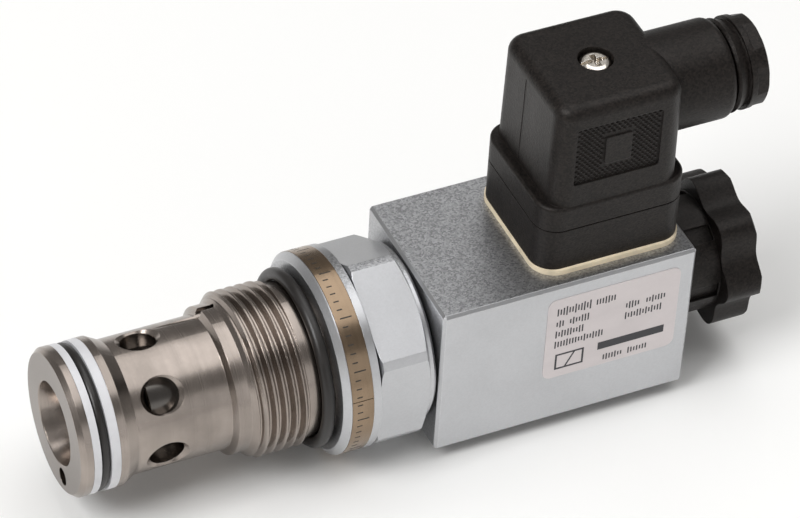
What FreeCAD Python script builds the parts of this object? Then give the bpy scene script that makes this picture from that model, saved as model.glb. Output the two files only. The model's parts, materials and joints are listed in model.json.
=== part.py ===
"""Screw-in solenoid cartridge valve, M33 x 2, with a 35 mm slip-on coil and a square connector.

The valve axis is X, from the nose (-X) to the coil nut (+X), and +Z runs up through the connector.
The origin is on the axis, in the plane of the flange face that seals against the manifold.
Every length is in millimetres.
"""
import FreeCAD, Part
import math
import os

# ---------------------------------------------------------------- driving dimensions
# Cartridge sleeve, stations along X and outer radii
NOSE_X = -51.35
NOSE_EDGE_R = 13.9
LAND_R = 14.7
SEAL_GROOVE_X = (-48.95, -43.45)
SEAL_GROOVE_R = 12.5
NOSE_LAND_END_X = -41.85
PORT_X = (-39.3, -20.3)
PORT_R = 13.3
REAR_LAND_X = (-19.5, -16.9)
THREAD_X = (-16.9, -5.45)
THREAD_R = 16.5
THREAD_PITCH = 2.0
THREAD_DEPTH = 1.05
THREAD_ROOT_FLAT = 0.3
NECK_R = 15.35
TAIL_R = 14.0
TAIL_END_X = 11.0
TAIL_GROOVE_X = (8.4, 10.0)
TAIL_GROOVE_R = 12.78

# Sleeve bores
NOSE_BORE_R = 8.35
NOSE_BORE_END_X = -44.1
SEAT_R = 6.4
SEAT_X = -38.6
GUIDE_R = 10.0
PILOT_BORE_X = -8.6
PILOT_BORE_R = 11.0

# Side ports and drillings
SIDE_HOLE_X = -33.2
SIDE_HOLE_R = 3.5
SIDE_HOLE_EDGE_R = 4.15
SIDE_HOLE_COUNT = 6
SIDE_HOLE_FIRST_DEG = 15.0
DRILLING_DEG = 66.0
DRILLING_R = 1.2
FACE_DRILLING_DEG = 246.0
FACE_DRILLING_R = 1.8
FACE_DRILLING_PITCH_R = 10.9
FACE_DRILLING_END_X = -49.2
ORIFICE_R = 0.6

# Poppet, pilot and push pin
POCKET_X = -33.5
POCKET_R = 6.6
SCREW_SEAT_X = -37.2
SCREW_R = 2.5
SPRING_R = 5.2
PILOT_SEAT_X = -2.0
PILOT_HOLE_R = 1.0
PILOT_CHAMBER_R = 4.0
PILOT_REAR_X = 10.9
PIN_X = (9.0, 47.0)
PIN_R = 1.5
PIN_BORE_R = 1.7

# Hexagon body
FLANGE_R = 20.25
FLANGE_FACE_R = 18.85
RING_X = (1.35, 5.85)
RING_SEAT_R = 19.6
LIP_END_X = 7.5
HEX_X = (8.1, 18.75)
HEX_AF = 36.0
HEX_TURN_DEG = 2.3
HEX_END_X = 20.1

# Armature tube
TUBE_R = 8.0
TUBE_BORE_R = 6.5
TUBE_END_X = 84.0
FOOT_X = (11.3, 18.9)
FOOT_R = 10.4
POLE_END_X = 42.0
POLE_CUP_DEPTH = 2.5
STROKE = 1.5
ARMATURE_END_X = 69.8

# Coil
COIL_X = (20.8, 74.8)
COIL_HALF = 17.5
COIL_BEVEL = 0.6
COIL_BORE_R = 8.15
COIL_CAVITY_R = 15.2
COIL_FRONT_WALL = 4.2
END_PLATE_T = 4.0

# Connector
CONN_X = 58.0
BASE_HALF_X = 15.6
BASE_HALF_Y = 13.9
BASE_CORNER_R = 4.8
BASE_Z = (18.6, 28.0)
GASKET_T = 0.25
SKIRT_TOP_Z = 33.7
HOOD_HALF = 13.6
HOOD_CORNER_R = 4.0
HOOD_TOP_Z = 56.8
HOOD_DRAFT = 0.35
HOOD_EDGE_R = 2.6
HOOD_WALL = 2.2
PANEL_HALF = (9.0, 6.75)
PANEL_Z = 45.5
PANEL_FLOOR_Y = 13.05
PAD_HALF = (2.75, 3.2)
BLADE_OFFSET = 9.0
BLADE_W = 6.3
BLADE_T = 0.8
BLADE_TOP_Z = 38.0
CONTACT_TOP_Z = 38.9
CARRIER_TOP_Z = 41.0
SCREW_SHANK_R = 1.45
SCREW_HOLE_R = 3.5
SCREW_HOLE_FLOOR_Z = 53.6

# Cable gland
GLAND_Z = 46.8
GLAND_R = 10.0
GLAND_BORE_R = 7.6
GLAND_END_X = 84.6
CABLE_R = 4.6
GLAND_SEAL_X = (74.0, 81.2)
GLAND_WASHER_X = (81.3, 82.3)
GLAND_NUT_X = (84.9, 91.6)

# Coil nut
NUT_X = 75.45
NUT_NECK_R = 12.1
NUT_HEAD_X = (84.3, 92.05)
NUT_LOBES = 7
NUT_LOBE_R = 15.6
NUT_VALLEY_R = 13.0
NUT_TURN_DEG = 25.4
NUT_RECESSES = 6
NUT_RECESS_FIRST_DEG = 4.0
NUT_RECESS_DEPTH = 0.9
NUT_RECESS_HALF_W = 1.7
INSERT_R = 10.05
INSERT_END_X = 84.6
NUT_ROOM_R = 7.2
NUT_ROOM_END_X = 89.6
ACCESS_R = 3.5

# Rating label
LABEL_X = (43.1, 71.6)
LABEL_Z = (-6.3, 14.2)
LABEL_T = 0.15

# Clearances
RUNNING = 0.04
SMALL_GAP = 0.05

X_AXIS = FreeCAD.Vector(1, 0, 0)
Z_AXIS = FreeCAD.Vector(0, 0, 1)
ORIGIN = FreeCAD.Vector(0, 0, 0)


# ---------------------------------------------------------------- shape helpers
def vec(x, y, z):
    return FreeCAD.Vector(x, y, z)


def turned(profile):
    """Solid of revolution about the valve axis from (x, radius) points."""
    points = [vec(x, 0, r) for x, r in profile]
    points.append(points[0])
    face = Part.Face(Part.makePolygon(points))
    return face.revolve(ORIGIN, X_AXIS, 360)


def rod(x0, x1, radius):
    return Part.makeCylinder(radius, x1 - x0, vec(x0, 0, 0), X_AXIS)


def tube(x0, x1, outer, inner):
    return turned([(x0, inner), (x1, inner), (x1, outer), (x0, outer)])


def o_ring(x, ring_r, section_r):
    return Part.makeTorus(ring_r, section_r, vec(x, 0, 0), X_AXIS)


def box(x0, x1, y0, y1, z0, z1):
    return Part.makeBox(x1 - x0, y1 - y0, z1 - z0, vec(x0, y0, z0))


def post(x, y, z0, z1, radius):
    return Part.makeCylinder(radius, z1 - z0, vec(x, y, z0), Z_AXIS)


def vertical_edges(shape):
    return [e for e in shape.Edges if len(e.Vertexes) == 2
            and abs(e.Vertexes[0].X - e.Vertexes[1].X) < 1e-6
            and abs(e.Vertexes[0].Y - e.Vertexes[1].Y) < 1e-6]


def rounded_block(cx, half_x, half_y, z0, z1, corner_r):
    block = box(cx - half_x, cx + half_x, -half_y, half_y, z0, z1)
    return block.makeFillet(corner_r, vertical_edges(block))


def rounded_outline(cx, half_x, half_y, corner_r, z):
    """Closed wire of a rounded rectangle at height z."""
    ix = half_x - corner_r
    iy = half_y - corner_r
    centres = [(cx + ix, iy, 0), (cx - ix, iy, 90), (cx - ix, -iy, 180), (cx + ix, -iy, 270)]
    arcs = [Part.makeCircle(corner_r, vec(x, y, z), Z_AXIS, a, a + 90) for x, y, a in centres]
    edges = []
    for i, arc in enumerate(arcs):
        edges.append(arc)
        following = arcs[(i + 1) % len(arcs)]
        edges.append(Part.makeLine(arc.Vertexes[1].Point, following.Vertexes[0].Point))
    return Part.Wire(edges)


def round_hole(x, angle_deg, radius, r0, r1):
    """Radial drill from radius r0 to r1 at a station x, angle measured from +Y towards +Z."""
    a = math.radians(angle_deg)
    direction = vec(0, math.cos(a), math.sin(a))
    return Part.makeCylinder(radius, r1 - r0, vec(x, 0, 0) + direction * r0, direction)


def coil_spring(x0, x1, mean_r, wire_r, turns):
    """Helical wire between two planes across the valve axis."""
    length = x1 - x0 - 2 * wire_r
    helix = Part.makeHelix(length / turns, length, mean_r)
    section = Part.Wire(Part.makeCircle(wire_r, vec(mean_r, 0, 0), vec(0, 1, 0)))
    sweep = Part.BRepOffsetAPI.MakePipeShell(Part.Wire(helix.Edges))
    sweep.setFrenetMode(True)
    sweep.add(section)
    sweep.build()
    sweep.makeSolid()
    spring = sweep.shape()
    spring.rotate(ORIGIN, vec(0, 1, 0), 90)
    spring.translate(vec(x0 + wire_r, 0, 0))
    return spring


# ---------------------------------------------------------------- cartridge
def thread_groove():
    """Helical groove that leaves the sleeve's metric thread, run out past both ends of it."""
    start = THREAD_X[0] - THREAD_PITCH
    length = THREAD_X[1] - THREAD_X[0] + 1.3 * THREAD_PITCH
    overshoot = 0.35
    root_r = THREAD_R - THREAD_DEPTH
    top_r = THREAD_R + overshoot
    half_root = THREAD_ROOT_FLAT / 2
    half_top = half_root + (THREAD_DEPTH + overshoot) * math.tan(math.radians(30))
    corners = [vec(root_r, 0, -half_root), vec(root_r, 0, half_root),
               vec(top_r, 0, half_top), vec(top_r, 0, -half_top)]
    profile = Part.makePolygon(corners + corners[:1])
    helix = Part.makeLongHelix(THREAD_PITCH, length, THREAD_R)
    sweep = Part.BRepOffsetAPI.MakePipeShell(Part.Wire(helix.Edges))
    sweep.setFrenetMode(True)
    sweep.add(profile)
    sweep.build()
    sweep.makeSolid()
    groove = sweep.shape()
    groove.rotate(ORIGIN, vec(0, 1, 0), 90)
    groove.translate(vec(start, 0, 0))
    return groove


def cartridge_body():
    bevel = 1.0
    bore_break = 0.15
    lead_in = 1.8
    tail_bevel = 0.5
    inlet_x, inlet_end_r = -4.6, 13.3
    neck_x = THREAD_X[1]
    body = turned([
        (NOSE_X, NOSE_BORE_R + bore_break), (NOSE_X, NOSE_EDGE_R), (NOSE_X + bevel, LAND_R),
        (SEAL_GROOVE_X[0], LAND_R), (SEAL_GROOVE_X[0], SEAL_GROOVE_R),
        (SEAL_GROOVE_X[1], SEAL_GROOVE_R), (SEAL_GROOVE_X[1], LAND_R),
        (NOSE_LAND_END_X, LAND_R), (PORT_X[0], PORT_R), (PORT_X[1], PORT_R),
        (REAR_LAND_X[0], LAND_R), (REAR_LAND_X[1], LAND_R),
        (THREAD_X[0] + lead_in, THREAD_R), (neck_x - 0.35, THREAD_R), (neck_x, THREAD_R - 0.4),
        (neck_x, NECK_R), (0, NECK_R), (0, TAIL_R), (TAIL_GROOVE_X[0], TAIL_R),
        (TAIL_GROOVE_X[0], TAIL_GROOVE_R), (TAIL_GROOVE_X[1], TAIL_GROOVE_R),
        (TAIL_GROOVE_X[1], TAIL_R), (TAIL_END_X - tail_bevel, TAIL_R),
        (TAIL_END_X, TAIL_R - tail_bevel), (TAIL_END_X, PILOT_BORE_R), (PILOT_BORE_X, PILOT_BORE_R),
        (PILOT_BORE_X, GUIDE_R), (SEAT_X, GUIDE_R), (SEAT_X, SEAT_R),
        (NOSE_BORE_END_X, SEAT_R), (NOSE_X + bore_break, NOSE_BORE_R)])
    body = body.cut(thread_groove())
    for i in range(SIDE_HOLE_COUNT):
        angle = SIDE_HOLE_FIRST_DEG + i * 360.0 / SIDE_HOLE_COUNT
        body = body.cut(round_hole(SIDE_HOLE_X, angle, SIDE_HOLE_R, GUIDE_R - 1, PORT_R + 2))
        a = math.radians(angle)
        outward = vec(0, math.cos(a), math.sin(a))
        deep = SIDE_HOLE_EDGE_R - SIDE_HOLE_R
        overrun = 1.6
        apex_r = PORT_R - deep - 0.25
        edge = Part.makeCone(SIDE_HOLE_R, SIDE_HOLE_EDGE_R + overrun, deep + overrun,
                             vec(SIDE_HOLE_X, 0, 0) + outward * apex_r, outward)
        body = body.cut(edge)
    body = body.cut(inclined_drilling())
    body = body.cut(round_hole(inlet_x, DRILLING_DEG, DRILLING_R - 0.1, PILOT_BORE_R - 1, inlet_end_r))
    return body.cut(face_drilling())


def face_drilling():
    """Wide mouth in the nose face, going on as a fine orifice into the side hole behind it."""
    a = math.radians(FACE_DRILLING_DEG)
    start = vec(NOSE_X - 1, FACE_DRILLING_PITCH_R * math.cos(a), FACE_DRILLING_PITCH_R * math.sin(a))
    mouth = Part.makeCylinder(FACE_DRILLING_R, FACE_DRILLING_END_X - start.x, start, X_AXIS)
    orifice_end_x = SIDE_HOLE_X - SIDE_HOLE_R / 2
    return mouth.fuse(Part.makeCylinder(ORIFICE_R, orifice_end_x - start.x, start, X_AXIS))


def inclined_drilling():
    """Pilot drain drilled at a shallow angle from the port groove, under the thread."""
    a = math.radians(DRILLING_DEG)
    radial = vec(0, math.cos(a), math.sin(a))
    mouth_x, mouth_r = -31.0, 14.6
    end_x, end_r = -3.6, 13.1
    start = vec(mouth_x, 0, 0) + radial * mouth_r
    path = vec(end_x, 0, 0) + radial * end_r - start
    return Part.makeCylinder(DRILLING_R, path.Length, start, path)


def nose_seals():
    ring_x = -46.38
    section_r = 1.0
    face = section_r + 0.03
    outer_r = LAND_R - 0.02
    inner_r = SEAL_GROOVE_R + SMALL_GAP
    front = tube(SEAL_GROOVE_X[0] + SMALL_GAP, ring_x - face, outer_r, inner_r)
    rear = tube(ring_x + face, SEAL_GROOVE_X[1] - SMALL_GAP, outer_r, inner_r)
    ring = o_ring(ring_x, inner_r + section_r, section_r)
    return {"backup_ring_front": front, "backup_ring_rear": rear, "nose_oring": ring}


def shoulder_oring():
    ring_x = -2.0
    section_r = 1.28
    return o_ring(ring_x, NECK_R + SMALL_GAP + section_r, section_r)


def sleeve_oring():
    section_r = 0.6
    middle = (TAIL_GROOVE_X[0] + TAIL_GROOVE_X[1]) / 2
    return o_ring(middle, TAIL_GROOVE_R + 0.02 + section_r, section_r)


def hexagon(x0, x1):
    corner_r = HEX_AF / math.sqrt(3)
    angles = [math.radians(90 + HEX_TURN_DEG + 60 * k) for k in range(6)]
    corners = [vec(x0, corner_r * math.cos(a), corner_r * math.sin(a)) for a in angles]
    face = Part.Face(Part.makePolygon(corners + corners[:1]))
    return face.extrude(vec(x1 - x0, 0, 0))


def hex_body():
    flat_r = HEX_AF / 2
    chamfer_x = 17.55
    collar_r = 17.9
    bore_r = TAIL_R + SMALL_GAP
    foot_r = FOOT_R + SMALL_GAP
    flange = turned([
        (0, bore_r), (0, FLANGE_FACE_R), (1.2, FLANGE_R), (RING_X[0], FLANGE_R),
        (RING_X[0], RING_SEAT_R), (RING_X[1], RING_SEAT_R), (RING_X[1], FLANGE_R),
        (LIP_END_X, FLANGE_R), (LIP_END_X + 0.8, flat_r - 0.1), (HEX_X[1], flat_r - 0.1),
        (HEX_X[1], collar_r), (HEX_END_X - 0.6, collar_r), (HEX_END_X, collar_r - 0.6),
        (HEX_END_X, foot_r), (TAIL_END_X + 0.2, foot_r), (TAIL_END_X + 0.2, bore_r)])
    corners = turned([
        (HEX_X[0], foot_r + 4), (HEX_X[0], FLANGE_R - 0.7), (HEX_X[0] + 0.35, FLANGE_R),
        (chamfer_x, FLANGE_R), (HEX_X[1], flat_r - 0.05), (HEX_X[1], foot_r + 4)])
    return flange.fuse(hexagon(HEX_X[0], HEX_X[1]).common(corners)).removeSplitter()


def label_ring():
    """Closed band with a fine split, as a strip that is wrapped and clenched in the groove."""
    ring = tube(RING_X[0] + SMALL_GAP, RING_X[1] - SMALL_GAP, FLANGE_R + SMALL_GAP,
                RING_SEAT_R + 0.02)
    split = box(0, 10, RING_SEAT_R - 1, FLANGE_R + 1, -0.08, 0.08)
    split.rotate(ORIGIN, X_AXIS, 168)
    return ring.cut(split)


# ---------------------------------------------------------------- poppet and pilot
def main_poppet():
    outer_r = GUIDE_R - RUNNING
    front_x = SEAT_X - 2.0
    cone_x = SEAT_X + (outer_r - SEAT_R) + 0.05
    rear_x = -13.6
    rear_bevel = 0.4
    passage_r = 1.2
    body = turned([
        (front_x, 0), (front_x, SEAT_R - 2.05), (cone_x, outer_r), (rear_x - rear_bevel, outer_r),
        (rear_x, outer_r - rear_bevel), (rear_x, POCKET_R), (POCKET_X, POCKET_R), (POCKET_X, 0)])
    groove_depth = 0.4
    groove_width = 0.6
    for x in (-27.0, -23.0, -19.0):
        body = body.cut(tube(x, x + groove_width, outer_r + 1, outer_r - groove_depth))
    body = body.cut(rod(SCREW_SEAT_X, POCKET_X + 1, SCREW_R))
    return body.cut(rod(front_x - 1, POCKET_X, passage_r))


def orifice_screw():
    x0, x1 = SCREW_SEAT_X + 0.1, POCKET_X - 0.4
    bore_r = 0.5
    socket_depth = 1.3
    socket_r = 1.3
    screw = rod(x0, x1, SCREW_R - SMALL_GAP)
    screw = screw.cut(rod(x0 - 1, x1 + 1, bore_r))
    angles = [math.radians(60 * k) for k in range(6)]
    corners = [vec(x1 - socket_depth, socket_r * math.cos(a), socket_r * math.sin(a)) for a in angles]
    socket = Part.Face(Part.makePolygon(corners + corners[:1])).extrude(vec(socket_depth + 1, 0, 0))
    return screw.cut(socket)


def pilot_seat():
    outer_r = PILOT_BORE_R - SMALL_GAP
    drain_x = (-6.0, 0.4)
    drain_r = 10.0
    seat = turned([
        (PILOT_BORE_X, PILOT_HOLE_R), (PILOT_SEAT_X, PILOT_HOLE_R), (PILOT_SEAT_X, PILOT_CHAMBER_R),
        (PILOT_REAR_X, PILOT_CHAMBER_R), (PILOT_REAR_X, outer_r), (drain_x[1], outer_r),
        (drain_x[1], drain_r), (drain_x[0], drain_r), (drain_x[0], outer_r), (PILOT_BORE_X, outer_r)])
    outlet_x, outlet_r = -0.9, 1.0
    return seat.cut(round_hole(outlet_x, DRILLING_DEG, outlet_r, PILOT_CHAMBER_R - 1, PILOT_BORE_R))


def pilot_cone():
    """Conical pilot, resting its stroke clear of the seat edge."""
    seat_edge_x = PILOT_SEAT_X + STROKE
    slope = math.tan(math.radians(30))
    tip_x = seat_edge_x - PILOT_HOLE_R / slope
    body_r = 2.2
    collar_x = (4.5, 6.0)
    collar_r = PILOT_CHAMBER_R - 0.3
    return turned([
        (tip_x, 0), (tip_x + body_r / slope, body_r), (collar_x[0], body_r), (collar_x[0], collar_r),
        (collar_x[1], collar_r), (collar_x[1], PIN_R), (PIN_X[0], PIN_R), (PIN_X[0], 0)])


def pole_piece():
    outer_r = TUBE_BORE_R - SMALL_GAP
    return turned([
        (FOOT_X[0], PIN_BORE_R), (FOOT_X[0], outer_r), (POLE_END_X, outer_r), (POLE_END_X, 6.0),
        (POLE_END_X - POLE_CUP_DEPTH, 4.6), (POLE_END_X - POLE_CUP_DEPTH, PIN_BORE_R)])


def armature():
    nose_x = POLE_END_X - POLE_CUP_DEPTH + STROKE + 0.2
    shoulder_x = nose_x + POLE_CUP_DEPTH
    outer_r = TUBE_BORE_R - 2 * RUNNING
    bevel = 0.5
    vent_r = 0.7
    body = turned([
        (nose_x, PIN_R), (nose_x, 4.3), (shoulder_x, 5.9), (shoulder_x, outer_r),
        (ARMATURE_END_X - bevel, outer_r), (ARMATURE_END_X, outer_r - bevel), (ARMATURE_END_X, 0),
        (PIN_X[1], 0), (PIN_X[1], PIN_R)])
    for y in (-4.0, 4.0):
        vent = Part.makeCylinder(vent_r, ARMATURE_END_X - nose_x + 2, vec(nose_x - 1, y, 0), X_AXIS)
        body = body.cut(vent)
    return body


def armature_tube():
    groove_x = (15.8, 17.8)
    return turned([
        (FOOT_X[0], TUBE_BORE_R), (FOOT_X[0], FOOT_R), (groove_x[0], FOOT_R),
        (groove_x[0], FOOT_R - 1.5), (groove_x[1], FOOT_R - 1.5), (groove_x[1], FOOT_R),
        (FOOT_X[1], FOOT_R), (FOOT_X[1], TUBE_R), (TUBE_END_X - 0.6, TUBE_R),
        (TUBE_END_X, TUBE_R - 0.6), (TUBE_END_X, TUBE_BORE_R)])


def tube_end_plug():
    front_x = ARMATURE_END_X + 0.2
    outer_r = TUBE_BORE_R - SMALL_GAP
    return turned([
        (front_x, 3.1), (front_x, outer_r), (TUBE_END_X, outer_r), (TUBE_END_X + 1.2, outer_r - 1.2),
        (TUBE_END_X + 1.2, 2.0), (front_x + 1.3, 2.0), (front_x + 1.3, 3.1)])


def override_pin():
    pin_r = 2.0 - RUNNING
    end_x = 88.0
    groove_x = (75.6, 76.8)
    return turned([
        (ARMATURE_END_X, 0), (ARMATURE_END_X, 2.9), (ARMATURE_END_X + 1.0, 2.9),
        (ARMATURE_END_X + 1.0, pin_r), (groove_x[0], pin_r), (groove_x[0], 1.2),
        (groove_x[1], 1.2), (groove_x[1], pin_r), (end_x - 0.7, pin_r), (end_x, pin_r - 0.7),
        (end_x, 0)])


# ---------------------------------------------------------------- coil
def wire_slot(z0, z1, clearance):
    half_x = 5.0 - clearance
    half_y = 4.4 - clearance
    return box(CONN_X - half_x, CONN_X + half_x, -half_y, half_y, z0, z1)


def coil_housing():
    block = box(COIL_X[0], COIL_X[1], -COIL_HALF, COIL_HALF, -COIL_HALF, COIL_HALF)
    block = block.makeChamfer(COIL_BEVEL, block.Edges)
    block = block.cut(rod(COIL_X[0] - 1, COIL_X[1] + 1, COIL_BORE_R))
    block = block.cut(rod(COIL_X[0] + COIL_FRONT_WALL, COIL_X[1] + 1, COIL_CAVITY_R))
    block = block.cut(rod(COIL_X[0] - 1, COIL_X[0] + 1.2, COIL_BORE_R + 2.4))
    return block.cut(wire_slot(12.0, COIL_HALF + 1, 0))


def coil_end_plate():
    front_x = COIL_X[1] - END_PLATE_T
    return turned([
        (front_x, COIL_BORE_R), (front_x, COIL_CAVITY_R - 0.02),
        (COIL_X[1] - 0.3, COIL_CAVITY_R - 0.02), (COIL_X[1], COIL_CAVITY_R - 0.3),
        (COIL_X[1], COIL_BORE_R + 2.4), (COIL_X[1] - 1.2, COIL_BORE_R + 2.4),
        (COIL_X[1] - 1.2, COIL_BORE_R)])


def coil_bobbin():
    x0 = COIL_X[0] + COIL_FRONT_WALL + SMALL_GAP
    x1 = COIL_X[1] - END_PLATE_T - SMALL_GAP
    flange_r = COIL_CAVITY_R - 0.2
    flange_t = 1.7
    spool_r = COIL_BORE_R + 1.1
    return turned([
        (x0, COIL_BORE_R + SMALL_GAP), (x0, flange_r), (x0 + flange_t, flange_r),
        (x0 + flange_t, spool_r), (x1 - flange_t, spool_r), (x1 - flange_t, flange_r),
        (x1, flange_r), (x1, COIL_BORE_R + SMALL_GAP)])


def coil_winding():
    x0 = COIL_X[0] + COIL_FRONT_WALL + 1.8
    x1 = COIL_X[1] - END_PLATE_T - 1.8
    return tube(x0, x1, 14.2, COIL_BORE_R + 1.15)


def rating_label():
    x0, x1 = LABEL_X
    z0, z1 = LABEL_Z
    plate = box(x0, x1, -COIL_HALF - LABEL_T, -COIL_HALF, z0, z1)
    corners = [e for e in plate.Edges if abs(e.tangentAt(e.FirstParameter).y) > 0.9]
    return plate.makeFillet(1.8, corners)


# ---------------------------------------------------------------- connector
def terminal_base():
    base = rounded_block(CONN_X, BASE_HALF_X, BASE_HALF_Y, BASE_Z[0], BASE_Z[1], BASE_CORNER_R)
    base = base.fuse(wire_slot(14.4, BASE_Z[0] + 1, 0.1))
    return base.cut(post(CONN_X, 0, 21.0, BASE_Z[1] + 1, 1.5))


def base_gasket():
    outer = rounded_block(CONN_X, BASE_HALF_X + 0.15, BASE_HALF_Y + 0.6, COIL_HALF, BASE_Z[0],
                          BASE_CORNER_R + 0.4)
    inner = rounded_block(CONN_X, 6.5, 6.0, COIL_HALF - 1, BASE_Z[0] + 1, 1.5)
    return outer.cut(inner)


def contact_places():
    """Centre of each blade and whether its width lies along X."""
    return [(CONN_X - BLADE_OFFSET, 0, False), (CONN_X + BLADE_OFFSET, 0, False),
            (CONN_X, BLADE_OFFSET, True), (CONN_X, -BLADE_OFFSET, True)]


def flat_at(x, y, along_x, width, thick, z0, z1):
    half_x = (width if along_x else thick) / 2
    half_y = (thick if along_x else width) / 2
    return box(x - half_x, x + half_x, y - half_y, y + half_y, z0, z1)


def terminal_blades():
    blades = []
    for x, y, along_x in contact_places():
        blades.append(flat_at(x, y, along_x, BLADE_W, BLADE_T, BASE_Z[1], BLADE_TOP_Z))
    return Part.makeCompound(blades)


def connector_gasket():
    half_x = BASE_HALF_X - 0.35
    half_y = BASE_HALF_Y - 0.35
    z1 = BASE_Z[1] + GASKET_T
    outer = rounded_block(CONN_X, half_x, half_y, BASE_Z[1], z1, BASE_CORNER_R - 0.35)
    inner = rounded_block(CONN_X, 12.8, 11.6, BASE_Z[1] - 1, z1 + 1, 2.0)
    return outer.cut(inner)


def hood_shell():
    """Tapered hood with rounded top edges, standing on a straight skirt."""
    skirt_z = BASE_Z[1] + GASKET_T
    skirt = rounded_block(CONN_X, BASE_HALF_X, BASE_HALF_Y, skirt_z, SKIRT_TOP_Z, BASE_CORNER_R)
    rim = [e for e in skirt.Edges if min(v.Z for v in e.Vertexes) > SKIRT_TOP_Z - 0.01]
    skirt = skirt.makeFillet(0.7, rim)
    low = rounded_outline(CONN_X, HOOD_HALF, HOOD_HALF, HOOD_CORNER_R, SKIRT_TOP_Z - 2)
    high = rounded_outline(CONN_X, HOOD_HALF - HOOD_DRAFT, HOOD_HALF - HOOD_DRAFT, HOOD_CORNER_R,
                           HOOD_TOP_Z)
    hood = Part.makeLoft([low, high], True)
    top = [e for e in hood.Edges if min(v.Z for v in e.Vertexes) > HOOD_TOP_Z - 0.01]
    hood = hood.makeFillet(HOOD_EDGE_R, top)
    return skirt.fuse(hood)


def grip_recess(side):
    """Shallow pocket in the hood's face at +Y or -Y, round a small pad that is left standing."""
    centre = CONN_X - 0.8
    depth = 2.0
    y0 = PANEL_FLOOR_Y if side > 0 else -PANEL_FLOOR_Y - depth

    def block(half_x, half_z, corner_r):
        shape = box(centre - half_x, centre + half_x, y0, y0 + depth,
                    PANEL_Z - half_z, PANEL_Z + half_z)
        across = [e for e in shape.Edges if abs(e.Vertexes[0].Y - e.Vertexes[1].Y) > 1]
        return shape.makeFillet(corner_r, across)

    return block(PANEL_HALF[0], PANEL_HALF[1], 0.6).cut(block(PAD_HALF[0], PAD_HALF[1], 0.3))


def connector_housing():
    wall = HOOD_WALL
    roof_z = HOOD_TOP_Z - 4.6
    boss_r = 4.4
    shell = hood_shell()
    gland = Part.makeCylinder(GLAND_R, GLAND_END_X - CONN_X, vec(CONN_X, 0, GLAND_Z), X_AXIS)
    rim = [e for e in gland.Edges if abs(e.BoundBox.XMin - GLAND_END_X) < 0.01]
    shell = shell.fuse(gland.makeFillet(1.6, rim))
    skirt_z = BASE_Z[1] + GASKET_T
    mouth = rounded_block(CONN_X, 13.0, 11.8, skirt_z - 1, SKIRT_TOP_Z - 2.4, 2.4)
    room = rounded_block(CONN_X, HOOD_HALF - HOOD_DRAFT - wall, HOOD_HALF - HOOD_DRAFT - wall,
                         skirt_z, roof_z, 2.0)
    room = room.cut(post(CONN_X, 0, 43.5, roof_z + 1, boss_r))
    shell = shell.cut(mouth).cut(room)
    bore_x = CONN_X + HOOD_HALF - wall - 1.5
    bore = Part.makeCylinder(GLAND_BORE_R, GLAND_END_X - bore_x + 1, vec(bore_x, 0, GLAND_Z), X_AXIS)
    shell = shell.cut(bore).cut(grip_recess(1)).cut(grip_recess(-1))
    shell = shell.cut(post(CONN_X, 0, SCREW_HOLE_FLOOR_Z, HOOD_TOP_Z + 1, SCREW_HOLE_R))
    return shell.cut(post(CONN_X, 0, 40, HOOD_TOP_Z, 1.8)).removeSplitter()


def contact_carrier():
    z0 = BASE_Z[1] + GASKET_T
    z1 = CARRIER_TOP_Z
    carrier = rounded_block(CONN_X, 10.9, 10.9, z0, z1, 1.8)
    carrier = carrier.cut(post(CONN_X, 0, z0 - 1, z1 + 1, 2.0))
    for x, y, along_x in contact_places():
        carrier = carrier.cut(flat_at(x, y, along_x, 7.4, 2.6, z0 - 1, CONTACT_TOP_Z + 0.1))
        carrier = carrier.cut(post(x, y, 38.5, z1 + 1, 1.5))
    return carrier


def female_contacts():
    z0 = 29.2
    clips = []
    for x, y, along_x in contact_places():
        clip = flat_at(x, y, along_x, 7.2, 2.4, z0, CONTACT_TOP_Z)
        slot = flat_at(x, y, along_x, BLADE_W + 0.2, BLADE_T + 0.2, z0 - 1, BLADE_TOP_Z + 0.3)
        clips.append(clip.cut(slot))
    return Part.makeCompound(clips)


def slotted_head(x, y, z0, z1, radius):
    head = post(x, y, z0, z1, radius)
    return head.cut(box(x - radius - 1, x + radius + 1, y - 0.4, y + 0.4, z1 - 0.8, z1 + 1))


def contact_screws():
    screws = []
    for x, y, _ in contact_places():
        head = slotted_head(x, y, CARRIER_TOP_Z, CARRIER_TOP_Z + 1.6, 1.9)
        screws.append(head.fuse(post(x, y, CONTACT_TOP_Z, CARRIER_TOP_Z, SCREW_SHANK_R)))
    return Part.makeCompound(screws)


def centre_screw():
    """Pan-head screw with a combined cross and slot, through the hood into the base."""
    head_z = SCREW_HOLE_FLOOR_Z + 0.6
    top_z = HOOD_TOP_Z - 0.45
    head_r = 3.2
    arm_half = 0.55
    arm_reach = 1.75
    head = post(CONN_X, 0, head_z, top_z, head_r)
    rim = [e for e in head.Edges if abs(e.BoundBox.ZMin - top_z) < 0.01]
    head = head.makeFillet(1.2, rim)
    head = head.cut(box(CONN_X - head_r, CONN_X + head_r, -0.42, 0.42, top_z - 0.9, top_z + 1))
    head = head.cut(box(CONN_X - arm_half, CONN_X + arm_half, -arm_reach, arm_reach, top_z - 1.4, top_z + 1))
    head = head.cut(box(CONN_X - arm_reach, CONN_X + arm_reach, -arm_half, arm_half, top_z - 1.4, top_z + 1))
    return head.fuse(post(CONN_X, 0, 22.0, head_z, SCREW_SHANK_R))


def screw_seal():
    z0 = SCREW_HOLE_FLOOR_Z
    return post(CONN_X, 0, z0, z0 + 0.6, 3.3).cut(post(CONN_X, 0, z0 - 1, z0 + 1, 1.6))


def gland_turned(profile):
    """Solid of revolution about the gland axis from (x, radius) points."""
    solid = turned(profile)
    solid.translate(vec(0, 0, GLAND_Z))
    return solid


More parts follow.
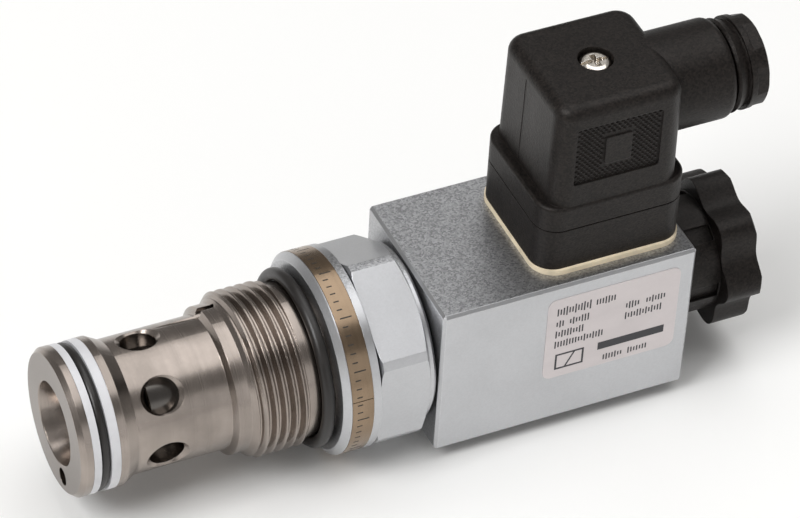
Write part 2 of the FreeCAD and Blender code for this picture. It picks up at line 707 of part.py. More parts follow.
def gland_seal():
    x0, x1 = GLAND_SEAL_X
    outer = GLAND_BORE_R - 0.3
    inner = CABLE_R + 0.15
    return gland_turned([
        (x0, inner), (x0 + 0.8, outer - 0.8), (x0 + 1.4, outer), (x1 - 0.6, outer),
        (x1, outer - 0.8), (x1, inner)])


def gland_washer():
    x0, x1 = GLAND_WASHER_X
    inner = CABLE_R + 0.4
    outer = GLAND_BORE_R - 0.3
    return gland_turned([(x0, inner), (x1, inner), (x1, outer), (x0, outer)])


def gland_nut():
    x0, x1 = GLAND_NUT_X
    spigot_x = GLAND_WASHER_X[1] + SMALL_GAP
    spigot_r = GLAND_BORE_R - 0.15
    nut = gland_turned([
        (spigot_x, CABLE_R), (spigot_x, spigot_r), (x0, spigot_r), (x0, 8.9), (x0 + 0.5, 9.4),
        (x0 + 2.5, 8.6), (x0 + 2.9, 8.6), (x0 + 2.9, 9.35),
        (x1 - 0.3, 9.2), (x1, 8.9), (x1, 6.3), (x1 - 1.2, CABLE_R)])
    flat_r = 8.8
    for k in range(6):
        flat = box(x0 + 4.1, x1 + 1, -8, 8, flat_r, flat_r + 3)
        flat.rotate(ORIGIN, X_AXIS, 60 * k + 20)
        flat.translate(vec(0, 0, GLAND_Z))
        nut = nut.cut(flat)
    return nut


# ---------------------------------------------------------------- coil nut
def star_outline(x):
    """Smooth closed outline whose radius swings between lobe and valley."""
    mean = (NUT_LOBE_R + NUT_VALLEY_R) / 2
    swing = (NUT_LOBE_R - NUT_VALLEY_R) / 2
    steps = NUT_LOBES * 8
    points = []
    for i in range(steps):
        a = 2 * math.pi * i / steps
        r = mean + swing * math.cos(NUT_LOBES * a)
        turn = a + math.radians(NUT_TURN_DEG)
        points.append(vec(x, r * math.cos(turn), r * math.sin(turn)))
    curve = Part.BSplineCurve()
    curve.interpolate(points, PeriodicFlag=True)
    return Part.Wire(curve.toShape())


def coil_nut():
    x0, x1 = NUT_HEAD_X
    head = Part.Face(star_outline(x0)).extrude(vec(x1 - x0, 0, 0))
    cap = turned([(x0 - 1, 0), (x0 - 1, 20), (x1 - 0.9, 16.2), (x1, 15.0), (x1, 0)])
    head = head.common(cap)
    neck = rod(NUT_X, x0 + 0.5, NUT_NECK_R)
    for k in range(NUT_RECESSES):
        recess = box(NUT_X - 1, x0 - 0.2, NUT_NECK_R - NUT_RECESS_DEPTH, NUT_NECK_R + 1,
                     -NUT_RECESS_HALF_W, NUT_RECESS_HALF_W)
        recess.rotate(ORIGIN, X_AXIS, NUT_RECESS_FIRST_DEG + k * 360.0 / NUT_RECESSES)
        neck = neck.cut(recess)
    nut = head.fuse(neck)
    nut = nut.cut(rod(NUT_X - 1, INSERT_END_X, INSERT_R))
    nut = nut.cut(rod(NUT_X, NUT_ROOM_END_X, NUT_ROOM_R))
    return nut.cut(rod(NUT_X, x1 + 1, ACCESS_R)).removeSplitter()


def nut_insert():
    x0, x1 = NUT_X + 0.1, INSERT_END_X - 0.1
    outer = INSERT_R - SMALL_GAP
    inner = TUBE_R + SMALL_GAP
    lead_in = 0.45
    return turned([
        (x0, inner + lead_in), (x0, outer), (x1, outer), (x1, inner), (x0 + lead_in, inner)])


# ---------------------------------------------------------------- all parts
def build_parts():
    parts = {
        "cartridge_body": cartridge_body(),
        "shoulder_oring": shoulder_oring(),
        "hex_body": hex_body(),
        "label_ring": label_ring(),
        "sleeve_oring": sleeve_oring(),
        "main_poppet": main_poppet(),
        "orifice_screw": orifice_screw(),
        "main_spring": coil_spring(POCKET_X + SMALL_GAP, PILOT_BORE_X - SMALL_GAP, SPRING_R, 0.7, 7.5),
        "pilot_seat": pilot_seat(),
        "pilot_cone": pilot_cone(),
        "pilot_spring": coil_spring(PILOT_SEAT_X + SMALL_GAP, 4.5 - SMALL_GAP, 3.05, 0.3, 5.0),
        "push_pin": rod(PIN_X[0], PIN_X[1], PIN_R),
        "pole_piece": pole_piece(),
        "armature": armature(),
        "armature_tube": armature_tube(),
        "tube_oring": o_ring(16.8, FOOT_R - 0.75, 0.72),
        "tube_end_plug": tube_end_plug(),
        "override_pin": override_pin(),
        "override_oring": o_ring(76.2, 1.58, 0.34),
        "coil_housing": coil_housing(),
        "coil_end_plate": coil_end_plate(),
        "coil_bobbin": coil_bobbin(),
        "coil_winding": coil_winding(),
        "coil_front_oring": o_ring(COIL_X[0] + 0.3, 9.2, 0.85),
        "coil_rear_oring": o_ring(COIL_X[1] - 0.3, 9.2, 0.85),
        "terminal_base": terminal_base(),
        "terminal_blades": terminal_blades(),
        "base_gasket": base_gasket(),
        "rating_label": rating_label(),
        "connector_gasket": connector_gasket(),
        "connector_housing": connector_housing(),
        "contact_carrier": contact_carrier(),
        "female_contacts": female_contacts(),
        "contact_screws": contact_screws(),
        "centre_screw": centre_screw(),
        "screw_seal": screw_seal(),
        "gland_seal": gland_seal(),
        "gland_washer": gland_washer(),
        "gland_nut": gland_nut(),
        "coil_nut": coil_nut(),
        "nut_insert": nut_insert(),
    }
    parts.update(nose_seals())
    return parts


os.makedirs("parts", exist_ok=True)
for name, shape in build_parts().items():
    shape.exportStep("parts/" + name + ".step")
    print(f"{name:20s} solids {len(shape.Solids)} valid {shape.isValid()} volume {shape.Volume:.1f}")
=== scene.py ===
"""Screw-in solenoid cartridge valve: finishes, printed and moulded detail, light and camera.

The valve axis is X, from the nose (-X) to the coil nut (+X), and the connector stands on +Z.
"""
import json
import math
import random

import bmesh
import bpy
from mathutils import Matrix, Quaternion, Vector


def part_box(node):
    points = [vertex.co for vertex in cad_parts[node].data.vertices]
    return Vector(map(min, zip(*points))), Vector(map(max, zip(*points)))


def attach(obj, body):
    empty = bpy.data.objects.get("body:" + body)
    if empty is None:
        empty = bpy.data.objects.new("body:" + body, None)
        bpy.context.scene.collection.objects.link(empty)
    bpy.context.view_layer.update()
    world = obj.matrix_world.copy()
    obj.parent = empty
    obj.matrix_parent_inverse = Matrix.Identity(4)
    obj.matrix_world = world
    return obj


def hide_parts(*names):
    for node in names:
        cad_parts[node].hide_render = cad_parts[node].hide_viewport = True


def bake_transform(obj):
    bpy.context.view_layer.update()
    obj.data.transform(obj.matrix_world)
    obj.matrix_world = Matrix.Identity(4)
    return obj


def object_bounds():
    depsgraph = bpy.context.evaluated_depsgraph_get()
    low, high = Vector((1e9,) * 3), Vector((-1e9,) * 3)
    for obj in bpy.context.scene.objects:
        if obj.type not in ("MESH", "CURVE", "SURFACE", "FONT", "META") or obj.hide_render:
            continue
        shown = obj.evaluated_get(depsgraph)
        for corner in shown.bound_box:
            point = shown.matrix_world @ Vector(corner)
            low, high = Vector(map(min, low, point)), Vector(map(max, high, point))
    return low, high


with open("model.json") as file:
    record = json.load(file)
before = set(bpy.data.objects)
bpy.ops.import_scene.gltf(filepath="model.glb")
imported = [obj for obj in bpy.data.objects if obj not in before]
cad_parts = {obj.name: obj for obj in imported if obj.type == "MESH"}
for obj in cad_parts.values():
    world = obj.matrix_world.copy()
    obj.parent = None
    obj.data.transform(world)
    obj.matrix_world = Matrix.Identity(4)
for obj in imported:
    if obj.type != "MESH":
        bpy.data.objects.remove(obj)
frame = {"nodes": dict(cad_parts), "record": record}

CAD_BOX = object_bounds()
MM = 0.001

# Camera, in metres and degrees
CAMERA_PLACE = Vector((-0.26752, -0.56344, 0.58864))
CAMERA_TARGET = Vector((0.02419, 0.00925, 0.00914))
CAMERA_ROLL_DEG = 3.74
CAMERA_LENS_MM = 200.3
SENSOR_MM = 36.0
LIGHT_TARGET = Vector((0.02, 0, 0.01))

FLOOR_SIZE = 6.0
FLOOR_GAP = 0.2 * MM
PRINT_SEED = 7

# Wire of the two springs
MAIN_SPRING_TURNS = 7.5
MAIN_WIRE_R = 0.7 * MM
PILOT_SPRING_TURNS = 5.0
PILOT_WIRE_R = 0.3 * MM

# Cosine at which a face starts to count as looking along an axis, and how fast it gets there
FACING_START = 0.94
FACING_GAIN = 20.0
EDGE_GAIN = 6.0
BEVEL_SAMPLES = 4

# Noise frequencies, in cycles per metre
TURNING_MARKS = 5200.0
TURNING_BANDS = 620.0
STAINS = 95.0
ZINC_CRYSTALS = 3000.0
ZINC_GRAIN = 3600.0
ZINC_CLOUDS = 70.0
ZINC_SCUFFS = (900.0, 140.0, 900.0)
MOULD_GRAIN = 2300.0
MOULD_SPECKS = 2700.0
MOULD_FLOW = (60.0, 60.0, 25.0)
SEAL_BLOOM = 320.0
SEAL_SKIN = 3000.0
COPPER_WIRES = 2500.0
FILM_FIBRE = 1300.0
FILM_RUB = (60.0, 60.0, 160.0)
STAGE_MOTTLE = 3.0

# Rounding that the light sees on edges
TURNED_EDGE = 0.12 * MM
PLATED_EDGE = 0.2 * MM
MOULDED_EDGE = 0.3 * MM


# ---------------------------------------------------------------- node graphs
class Graph:
    """A material's node tree, with short ways to add and join its nodes."""

    def __init__(self, name):
        self.material = bpy.data.materials.new(name)
        self.material.use_nodes = True
        self.tree = self.material.node_tree
        self.tree.nodes.clear()
        self.surface = self.add("ShaderNodeBsdfPrincipled")
        output = self.add("ShaderNodeOutputMaterial")
        self.join(self.surface.outputs["BSDF"], output.inputs["Surface"])
        place = self.add("ShaderNodeTexCoord")
        self.place = place.outputs["Object"]
        self.normal = place.outputs["Normal"]

    def add(self, kind):
        return self.tree.nodes.new(kind)

    def join(self, source, target):
        self.tree.links.new(source, target)

    def math(self, operation, first, second=None, clamp=False):
        node = self.add("ShaderNodeMath")
        node.operation = operation
        node.use_clamp = clamp
        for socket, value in zip(node.inputs, (first, second)):
            if value is None:
                continue
            if isinstance(value, (int, float)):
                socket.default_value = value
            else:
                self.join(value, socket)
        return node.outputs[0]

    def noise(self, vector, scale, detail=3.0, roughness=0.55):
        node = self.add("ShaderNodeTexNoise")
        node.inputs["Scale"].default_value = scale
        node.inputs["Detail"].default_value = detail
        node.inputs["Roughness"].default_value = roughness
        self.join(vector, node.inputs["Vector"])
        return node.outputs["Fac"]

    def cells(self, vector, scale):
        """A random value from 0 to 1 for each small crystal."""
        node = self.add("ShaderNodeTexVoronoi")
        node.inputs["Scale"].default_value = scale
        self.join(vector, node.inputs["Vector"])
        split = self.add("ShaderNodeSeparateColor")
        self.join(node.outputs["Color"], split.inputs[0])
        return split.outputs[0]

    def facing(self, axis):
        """1 on faces within 8 degrees of looking along the object's axis, 0 on those 20 degrees off it."""
        split = self.add("ShaderNodeSeparateXYZ")
        self.join(self.normal, split.inputs[0])
        along = self.math("ABSOLUTE", split.outputs[axis])
        return self.math("MULTIPLY", self.math("SUBTRACT", along, FACING_START), FACING_GAIN, clamp=True)

    def stretched(self, scales):
        node = self.add("ShaderNodeMapping")
        node.inputs["Scale"].default_value = scales
        self.join(self.place, node.inputs["Vector"])
        return node.outputs["Vector"]

    def lathe_place(self):
        """Position as (station along X, radius, 0): constant all the way round a turned part."""
        split = self.add("ShaderNodeSeparateXYZ")
        self.join(self.place, split.inputs[0])
        y2 = self.math("MULTIPLY", split.outputs["Y"], split.outputs["Y"])
        z2 = self.math("MULTIPLY", split.outputs["Z"], split.outputs["Z"])
        radius = self.math("SQRT", self.math("ADD", y2, z2))
        joined = self.add("ShaderNodeCombineXYZ")
        self.join(split.outputs["X"], joined.inputs["X"])
        self.join(radius, joined.inputs["Y"])
        return joined.outputs[0]

    def ramp(self, factor, low, high, stops=(0.35, 0.65)):
        node = self.add("ShaderNodeValToRGB")
        node.color_ramp.elements[0].position = stops[0]
        node.color_ramp.elements[1].position = stops[1]
        node.color_ramp.elements[0].color = (*low, 1)
        node.color_ramp.elements[1].color = (*high, 1)
        self.join(factor, node.inputs["Fac"])
        return node.outputs["Color"]

    def spread(self, factor, low, high):
        """The middle of a noise's range, widened to low..high."""
        node = self.add("ShaderNodeMapRange")
        node.inputs["From Min"].default_value = 0.3
        node.inputs["From Max"].default_value = 0.7
        node.inputs["To Min"].default_value = low
        node.inputs["To Max"].default_value = high
        self.join(factor, node.inputs["Value"])
        return node.outputs["Result"]

    def mixed(self, factor, first, second):
        node = self.add("ShaderNodeMix")
        node.data_type = "RGBA"
        self.join(factor, node.inputs["Factor"])
        for socket, value in ((node.inputs[6], first), (node.inputs[7], second)):
            if isinstance(value, tuple):
                socket.default_value = (*value, 1)
            else:
                self.join(value, socket)
        return node.outputs[2]

    def rounded_normal(self, radius):
        node = self.add("ShaderNodeBevel")
        node.samples = BEVEL_SAMPLES
        node.inputs["Radius"].default_value = radius
        return node.outputs["Normal"]

    def edge_mask(self, rounded):
        """1 on sharp edges, 0 on open faces."""
        flat = self.add("ShaderNodeNewGeometry")
        dot = self.add("ShaderNodeVectorMath")
        dot.operation = "DOT_PRODUCT"
        self.join(rounded, dot.inputs[0])
        self.join(flat.outputs["Normal"], dot.inputs[1])
        away = self.math("SUBTRACT", 1.0, dot.outputs["Value"])
        return self.math("MULTIPLY", away, EDGE_GAIN, clamp=True)

    def bump(self, height, strength, distance, normal=None):
        node = self.add("ShaderNodeBump")
        node.inputs["Strength"].default_value = strength
        node.inputs["Distance"].default_value = distance
        self.join(height, node.inputs["Height"])
        if normal is not None:
            self.join(normal, node.inputs["Normal"])
        return node.outputs["Normal"]

    def set(self, **values):
        for name, value in values.items():
            self.surface.inputs[name.replace("_", " ")].default_value = value

    def finish(self, colour, roughness, normal):
        self.join(colour, self.surface.inputs["Base Color"])
        self.join(roughness, self.surface.inputs["Roughness"])
        self.join(normal, self.surface.inputs["Normal"])
        return self.material


def tinted(colour, amount):
    return tuple(max(0.0, min(1.0, c * amount)) for c in colour)


# ---------------------------------------------------------------- finishes
def turned_metal(name, colour, roughness, marks=1.0, contrast=0.12):
    """Lathe-turned metal: fine rings round the axis, painted shade on the ends along X, stains, bright worn
    edges.
    """
    g = Graph(name)
    g.set(Metallic=1.0, Anisotropic=0.45)
    tangent = g.add("ShaderNodeTangent")
    tangent.direction_type = "RADIAL"
    tangent.axis = "X"
    g.join(tangent.outputs[0], g.surface.inputs["Tangent"])
    rings = g.noise(g.lathe_place(), TURNING_MARKS, detail=4.0, roughness=0.7)
    broad = g.noise(g.lathe_place(), TURNING_BANDS, detail=2.0)
    stain = g.noise(g.place, STAINS, detail=5.0)
    band_colour = tinted(colour, 1 - 1.6 * contrast)
    shaded_end_colour = tinted(colour, 0.56)
    worn_colour = tinted(colour, 1.5)
    base = g.ramp(stain, tinted(colour, 1 - contrast), tinted(colour, 1 + contrast))
    base = g.mixed(g.spread(broad, 0.0, 0.35), base, band_colour)
    # painted shade: faces looking along X are mixed towards a darker tone
    base = g.mixed(g.math("MULTIPLY", g.facing("X"), 0.8), base, shaded_end_colour)
    rounded = g.rounded_normal(TURNED_EDGE)
    base = g.mixed(g.edge_mask(rounded), base, worn_colour)
    normal = g.bump(rings, 0.22 * marks, 0.02 * MM, rounded)
    return g.finish(base, g.spread(rings, roughness * 0.8, roughness * 1.3), normal)


def plated_metal(name, colour, roughness):
    """Zinc-plated steel: sparkling grain on the faces along Z, finer along X, faint on the rest."""
    g = Graph(name)
    g.set(Metallic=0.95)
    cells = g.cells(g.place, ZINC_CRYSTALS)
    grain = g.noise(g.place, ZINC_GRAIN, detail=3.0, roughness=0.75)
    cloud = g.noise(g.place, ZINC_CLOUDS, detail=4.0)
    scuffs = g.noise(g.stretched(ZINC_SCUFFS), 1.0, detail=6.0, roughness=0.8)
    coarse = g.math("ADD", g.math("MULTIPLY", g.facing("X"), 0.35), g.math("MULTIPLY", g.facing("Z"), 0.85))
    coarse = g.math("ADD", coarse, 0.1)
    base = g.ramp(cloud, tinted(colour, 0.96), tinted(colour, 1.03))
    sparkle = g.ramp(cells, tinted(colour, 0.45), tinted(colour, 0.95), stops=(0.0, 1.0))
    base = g.mixed(coarse, base, sparkle)
    base = g.mixed(g.math("GREATER_THAN", scuffs, 0.78), base, tinted(colour, 0.86))
    rounded = g.rounded_normal(PLATED_EDGE)
    base = g.mixed(g.edge_mask(rounded), base, tinted(colour, 1.35))
    height = g.math("MULTIPLY", g.math("ADD", grain, cells), coarse)
    normal = g.bump(height, 0.6, 0.04 * MM, rounded)
    return g.finish(base, g.spread(grain, roughness * 0.85, roughness * 1.25), normal)


def moulded_plastic(name, colour, roughness):
    """Glass-filled moulding: spark-eroded grain, slight variation in gloss and paler rubbed edges."""
    g = Graph(name)
    g.set(Specular_IOR_Level=0.25, Specular_Tint=(1.0, 0.95, 0.92, 1.0))
    grain = g.noise(g.place, MOULD_GRAIN, detail=3.0, roughness=0.65)
    flow = g.noise(g.stretched(MOULD_FLOW), 1.0, detail=4.0)
    specks = g.cells(g.place, MOULD_SPECKS)
    base = g.ramp(specks, tinted(colour, 0.3), tinted(colour, 2.2), stops=(0.0, 1.0))
    base = g.mixed(g.spread(flow, 0.0, 0.3), base, tinted(colour, 0.7))
    rounded = g.rounded_normal(MOULDED_EDGE)
    rubbed = g.math("MULTIPLY", g.edge_mask(rounded), g.spread(flow, 0.2, 0.8))
    base = g.mixed(rubbed, base, tinted(colour, 2.5))
    normal = g.bump(grain, 0.8, 0.09 * MM, rounded)
    return g.finish(base, g.spread(flow, roughness * 0.85, roughness * 1.15), normal)


def soft_seal(name, colour, roughness, bloom_range=0.12):
    """Elastomer or PTFE: smooth, with a dusty bloom and a fine skin texture."""
    g = Graph(name)
    bloom = g.noise(g.place, SEAL_BLOOM, detail=5.0)
    fine = g.noise(g.place, SEAL_SKIN, detail=2.0)
    base = g.ramp(bloom, tinted(colour, 1 - bloom_range), tinted(colour, 1 + bloom_range))
    normal = g.bump(fine, 0.15, 0.02 * MM)
    return g.finish(base, g.spread(bloom, roughness * 0.85, roughness * 1.15), normal)


def wound_copper(name, colour):
    """Enamelled copper, with rings that stand for the layers of wire."""
    g = Graph(name)
    g.set(Metallic=1.0, Coat_Weight=0.6)
    wires = g.noise(g.lathe_place(), COPPER_WIRES, detail=1.0)
    base = g.ramp(wires, tinted(colour, 0.6), tinted(colour, 1.1))
    return g.finish(base, g.spread(wires, 0.25, 0.45), g.bump(wires, 0.8, 0.15 * MM))


def printed_film(name, colour, roughness):
    """Satin label film with paper-like mottling and a faint rub."""
    g = Graph(name)
    fibre = g.noise(g.place, FILM_FIBRE, detail=4.0)
    rub = g.noise(g.stretched(FILM_RUB), 1.0, detail=3.0)
    base = g.ramp(rub, tinted(colour, 0.95), tinted(colour, 1.03))
    base = g.mixed(g.spread(fibre, 0.0, 0.15), base, tinted(colour, 0.85))
    return g.finish(base, g.spread(rub, roughness * 0.9, roughness * 1.2), g.bump(fibre, 0.08, 0.02 * MM))


def make_finishes():
    return {
        "turned_steel": turned_metal("turned_steel", (0.335, 0.292, 0.262), 0.22, contrast=0.18),
        "zinc_plate": plated_metal("zinc_plate", (0.535, 0.54, 0.555), 0.34),
        # painted shade: the hardened steel is given a dark colour so that the poppet seen through the side
        # holes reads dark
        "hardened_steel": turned_metal("hardened_steel", (0.15, 0.14, 0.13), 0.18, marks=0.5),
        "spring_steel": turned_metal("spring_steel", (0.33, 0.32, 0.31), 0.3, marks=0.3),
        "magnet_iron": turned_metal("magnet_iron", (0.45, 0.45, 0.44), 0.35),
        "engraved_bronze": turned_metal("engraved_bronze", (0.28, 0.205, 0.14), 0.20, marks=0.8),
        "brass": turned_metal("brass", (0.76, 0.56, 0.26), 0.28, marks=0.8),
        "copper": wound_copper("copper", (0.75, 0.33, 0.16)),
        "nickel_plate": turned_metal("nickel_plate", (0.80, 0.75, 0.68), 0.18, marks=0.4),
        "white_ptfe": soft_seal("white_ptfe", (0.64, 0.64, 0.66), 0.35, bloom_range=0.04),
        "black_rubber": soft_seal("black_rubber", (0.014, 0.012, 0.011), 0.38),
        "cream_rubber": soft_seal("cream_rubber", (0.86, 0.74, 0.54), 0.6),
        "black_moulding": moulded_plastic("black_moulding", (0.0075, 0.0060, 0.0053), 0.44),
        "grey_insulator": moulded_plastic("grey_insulator", (0.2, 0.2, 0.2), 0.5),
        "label_film": printed_film("label_film", (0.68, 0.625, 0.625), 0.4),
    }


def apply_finishes(finishes):
    """Gives every CAD node the finish of the slot that the record names for it."""
    for part in frame["record"]["subparts"]:
        node = frame["nodes"][part["node"]]
        finish = finishes[part["material_slot"]]
        if not node.material_slots:
            node.data.materials.append(finish)
        for slot in node.material_slots:
            slot.material = finish


# ---------------------------------------------------------------- pieces of fine detail
def new_piece(name, bm, finish, body=None):
    """Makes the piece, which rides on the body when one is given."""
    bmesh.ops.recalc_face_normals(bm, faces=bm.faces)
    mesh = bpy.data.meshes.new(name)
    bm.to_mesh(mesh)
    bm.free()
    piece = bpy.data.objects.new(name, mesh)
    bpy.context.scene.collection.objects.link(piece)
    mesh.materials.append(finish)
    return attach(piece, body) if body else piece


def add_bar(bm, place, u0, u1, v0, v1, low, high, steps=1):
    """A closed bar over u0..u1 by v0..v1, bent to the surface that place(u, v, height) describes."""
    rows = []
    for i in range(steps + 1):
        u = u0 + (u1 - u0) * i / steps
        corners = ((v0, low), (v1, low), (v1, high), (v0, high))
        rows.append([bm.verts.new(place(u, v, h)) for v, h in corners])
    for first, second in zip(rows, rows[1:]):
        for k in range(4):
            bm.faces.new((first[k], first[(k + 1) % 4], second[(k + 1) % 4], second[k]))
    bm.faces.new(rows[0])
    bm.faces.new(rows[-1][::-1])


def add_ticks(bm, place, draw, u, v, tall, length, thick, low, high):
    """A run of upright ticks of three heights that stands for one printed word."""
    pitch = 2.1 * thick
    for i in range(int(length / pitch)):
        half = tall * draw.choice((0.3, 0.4, 0.5))
        add_bar(bm, place, u + i * pitch, u + i * pitch + thick, v - half, v + half, low, high)


def spring(name, node, turns, wire_r, finish):
    """Compression spring with closed end turns."""
    low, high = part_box(node)
    coil_r = (high.z - low.z) / 2 - wire_r
    closed_pitch = 2.1 * wire_r
    open_length = high.x - low.x - 2 * wire_r - 2 * closed_pitch
    steps, sides = int(24 * turns), 12

    def station(turn):
        open_turns = min(max(turn - 1, 0), turns - 2)
        closed_turns = turn - open_turns
        return low.x + wire_r + closed_pitch * closed_turns + open_length * open_turns / (turns - 2)

    along = Vector((1, 0, 0))
    angles = [2 * math.pi * k / sides for k in range(sides)]
    bm = bmesh.new()
    rings = []
    for i in range(steps + 1):
        turn = turns * i / steps
        out = Vector((0, math.cos(2 * math.pi * turn), math.sin(2 * math.pi * turn)))
        centre = out * coil_r + along * station(turn)
        around = [out * math.cos(b) + along * math.sin(b) for b in angles]
        rings.append([bm.verts.new(centre + step * wire_r) for step in around])
    for first, second in zip(rings, rings[1:]):
        for k in range(sides):
            bm.faces.new((first[k], first[(k + 1) % sides], second[(k + 1) % sides], second[k]))
    bm.faces.new(rings[0])
    bm.faces.new(rings[-1][::-1])
    piece = new_piece(name, bm, finish)
    piece.data.shade_smooth()
    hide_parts(node)
    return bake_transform(piece)


def label_print(finish):
    """Coded tick rows, a plain heavy bar and a standard solenoid symbol on the rating label."""
    low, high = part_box("rating_label")
    face_y = low.y

    def place(u, v, h):
        return Vector((low.x + u, face_y - h, low.z + v))

    ink, tick = 0.02 * MM, 0.3 * MM
    draw = random.Random(PRINT_SEED)
    bm = bmesh.new()
    # left end, height of the row's middle, tick height and length of each word, in millimetres
    words = ((2.0, 17.2, 2.3, 7.6), (10.4, 17.2, 2.3, 4.6), (2.0, 14.1, 1.8, 2.0), (4.9, 14.1, 1.8, 4.6),
             (17.0, 14.1, 1.8, 3.6), (21.4, 14.1, 1.8, 4.6), (2.0, 11.4, 1.8, 6.6),
             (17.0, 11.4, 1.8, 8.4), (2.0, 8.7, 1.8, 11.0), (13.0, 1.8, 1.6, 4.6), (18.4, 1.8, 1.6, 4.6))
    for u, v, tall, length in words:
        add_ticks(bm, place, draw, u * MM, v * MM, tall * MM, length * MM, tick, 0.0, ink)
    add_bar(bm, place, 11.6 * MM, 26.0 * MM, 4.2 * MM, 6.1 * MM, 0.0, ink)
    # the symbol: a box with one slanted line across it
    left, right, bottom, top, line = 2.4 * MM, 8.6 * MM, 2.0 * MM, 6.0 * MM, 0.4 * MM
    lean = 0.55
    add_bar(bm, place, left, right, bottom, bottom + line, 0.0, ink)
    add_bar(bm, place, left, right, top - line, top, 0.0, ink)
    add_bar(bm, place, left, left + line, bottom + line, top - line, 0.0, ink)
    add_bar(bm, place, right - line, right, bottom + line, top - line, 0.0, ink)

    def slanted(u, v, h):
        return place(u + (v - bottom) * lean, v, h)

    start = left + 1.9 * MM
    add_bar(bm, slanted, start, start + line, bottom + line, top - line, 0.0, ink)
    return new_piece("label_print", bm, finish, "coil")


def ring_engraving(finish):
    """Scale of long and short graduations round the bronze ring."""
    low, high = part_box("label_ring")
    radius = high.z
    middle = (low.x + high.x) / 2

    def place(u, v, h):
        return Vector((middle + v, (radius + h) * math.cos(u / radius), (radius + h) * math.sin(u / radius)))

    count, long_every = 72, 6
    line, sunk, proud = 0.26 * MM, -0.02 * MM, 0.012 * MM
    short, tall = 1.1 * MM, 2.4 * MM
    bm = bmesh.new()
    for i in range(count):
        u = 2 * math.pi * radius * i / count
        length = tall if i % long_every == 0 else short
        add_bar(bm, place, u, u + line, -tall / 2, -tall / 2 + length, sunk, proud)
    return new_piece("ring_engraving", bm, finish, "cartridge")


def plug_centre_x():
    """Station of the plug's upright axis, which its screw lies on."""
    low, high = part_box("centre_screw")
    return (low.x + high.x) / 2


def hood_wall(z):
    """Half width of the plug hood at height z, from the drafted CAD hood."""
    low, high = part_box("connector_housing")
    skirt, foot_half, draft = 3.45 * MM, 13.6 * MM, 0.35 * MM
    base_z = low.z + skirt
    share = max(0.0, (z - base_z) / (high.z - base_z))
    return foot_half - draft * share


def plug_grip_points(finish):
    """Staggered diamond points moulded on the floors of the hood's two pockets, round a plain pad."""
    pocket_floor, tall, sunk = 13.05 * MM, 0.36 * MM, 0.02 * MM
    column_step, row_step = 0.56 * MM, 1.24 * MM
    centre_x, centre_z = plug_centre_x() - 0.8 * MM, 45.5 * MM
    columns, rows = 31, 11
    pad_half_x, pad_half_z = 3.25 * MM, 3.8 * MM
    half_x, half_z = column_step * 0.8, row_step * 0.36
    bm = bmesh.new()
    for side in (-1, 1):
        for i in range(columns):
            for j in range(rows - i % 2):
                x = (i - (columns - 1) / 2) * column_step
                z = (j - (rows - 1 - i % 2) / 2) * row_step
                if abs(x) < pad_half_x and abs(z) < pad_half_z:
                    continue
                x, z = centre_x + x, centre_z + z
                root = side * (pocket_floor - sunk)
                base = [bm.verts.new((x + a * half_x, root, z + b * half_z))
                        for a, b in ((0, -1), (1, 0), (0, 1), (-1, 0))]
                tip = bm.verts.new((x, side * (pocket_floor + tall), z))
                for k in range(4):
                    bm.faces.new((base[k], base[(k + 1) % 4], tip))
                bm.faces.new(base[::-1])
    return new_piece("plug_grip_points", bm, finish, "plug")


def plug_parting_line(finish):
    """Fine mould line up the hood's face towards the nose."""
    low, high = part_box("connector_housing")
    centre_x = plug_centre_x()

    def place(u, v, h):
        return Vector((centre_x - hood_wall(u) - h, line_y + v, u))

    line_y, half_width, sunk, proud = 2.2 * MM, 0.09 * MM, 0.05 * MM, 0.07 * MM
    bottom_z, top_z = low.z + 6.0 * MM, high.z - 3.0 * MM
    bm = bmesh.new()
    add_bar(bm, place, bottom_z, top_z, -half_width, half_width, -sunk, proud, steps=8)
    return new_piece("plug_parting_line", bm, finish, "plug")


# ---------------------------------------------------------------- studio
def floor_paint(name, colour):
    """Matt pale paint with a barely visible mottle."""
    g = Graph(name)
    mottle = g.noise(g.place, STAGE_MOTTLE, detail=2.0)
    base = g.ramp(mottle, tinted(colour, 0.995), tinted(colour, 1.0))
    return g.finish(base, g.spread(mottle, 0.55, 0.6), g.bump(mottle, 0.02, 0.01 * MM))


def floor():
    """Plain square just under the lowest piece."""
    half = FLOOR_SIZE / 2
    bm = bmesh.new()
    corners = [bm.verts.new((x * half, y * half, 0)) for x, y in ((-1, -1), (1, -1), (1, 1), (-1, 1))]
    bm.faces.new(corners)
    mesh = bpy.data.meshes.new("floor")
    bm.to_mesh(mesh)
    bm.free()
    mesh.materials.append(floor_paint("floor_paint", (0.95, 0.95, 0.94)))
    plane = bpy.data.objects.new("floor", mesh)
    plane.location.z = CAD_BOX[0].z - FLOOR_GAP
    bpy.context.scene.collection.objects.link(plane)


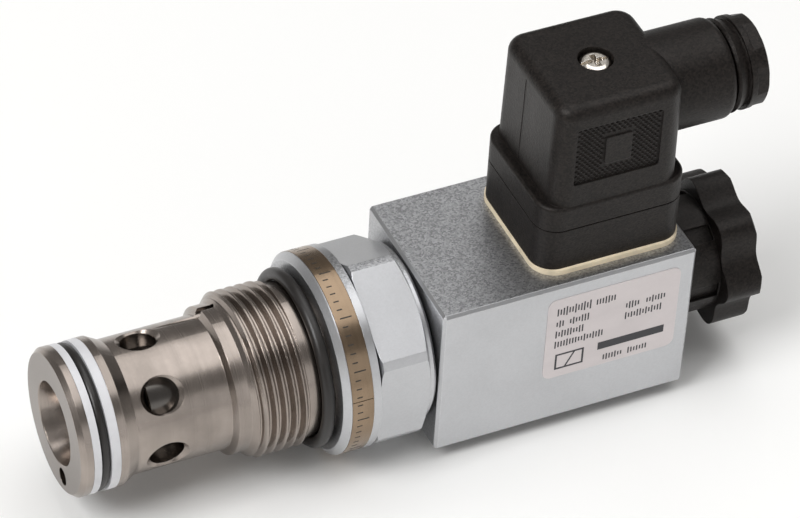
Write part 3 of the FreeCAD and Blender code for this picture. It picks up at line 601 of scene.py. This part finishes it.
def softbox(name, place, size, power):
    """Soft rectangular light aimed at the middle of the valve."""
    light = bpy.data.lights.new(name, "AREA")
    light.shape = "RECTANGLE"
    light.size, light.size_y = size
    light.energy = power
    lamp = bpy.data.objects.new(name, light)
    lamp.location = place
    lamp.rotation_euler = (LIGHT_TARGET - Vector(place)).to_track_quat("-Z", "Y").to_euler()
    bpy.context.scene.collection.objects.link(lamp)


def studio():
    """Bright floor under a broad overhead box, in a dim room: up-facing metal reads darker."""
    world = bpy.data.worlds.new("studio")
    world.use_nodes = True
    background = world.node_tree.nodes["Background"]
    background.inputs["Color"].default_value = (1.0, 0.98, 0.96, 1)
    background.inputs["Strength"].default_value = 0.24
    bpy.context.scene.world = world
    bpy.context.scene.view_settings.view_transform = "Standard"
    softbox("overhead", (0.35, 0.15, 1.4), (1.6, 1.4), 11.5)
    softbox("key", (-1.1, -0.3, 1.3), (0.8, 0.8), 19.5)
    softbox("front", (0.45, -1.7, 0.5), (2.0, 1.0), 4.0)


def camera():
    """Long lens from above the label's side, rolled slightly."""
    data = bpy.data.cameras.new("camera")
    data.sensor_width = SENSOR_MM
    data.lens = CAMERA_LENS_MM
    data.clip_start, data.clip_end = 0.05, 20.0
    eye = bpy.data.objects.new("camera", data)
    aim = (CAMERA_TARGET - CAMERA_PLACE).to_track_quat("-Z", "Y")
    roll = Quaternion((0, 0, 1), math.radians(CAMERA_ROLL_DEG))
    eye.matrix_world = Matrix.LocRotScale(CAMERA_PLACE, aim @ roll, None)
    bpy.context.scene.collection.objects.link(eye)
    bpy.context.scene.camera = eye


# ---------------------------------------------------------------- everything together
camera()
studio()
floor()
FINISHES = make_finishes()
apply_finishes(FINISHES)
ink_black = soft_seal("print_ink", (0.03, 0.03, 0.035), 0.5)
dark_engraving = soft_seal("engraving_fill", (0.03, 0.025, 0.02), 0.6)
spring("main_spring_coil", "main_spring", MAIN_SPRING_TURNS, MAIN_WIRE_R,
       FINISHES["spring_steel"])
spring("pilot_spring_coil", "pilot_spring", PILOT_SPRING_TURNS, PILOT_WIRE_R,
       FINISHES["spring_steel"])
label_print(ink_black)
ring_engraving(dark_engraving)
plug_grip_points(FINISHES["black_moulding"])
plug_parting_line(FINISHES["black_moulding"])
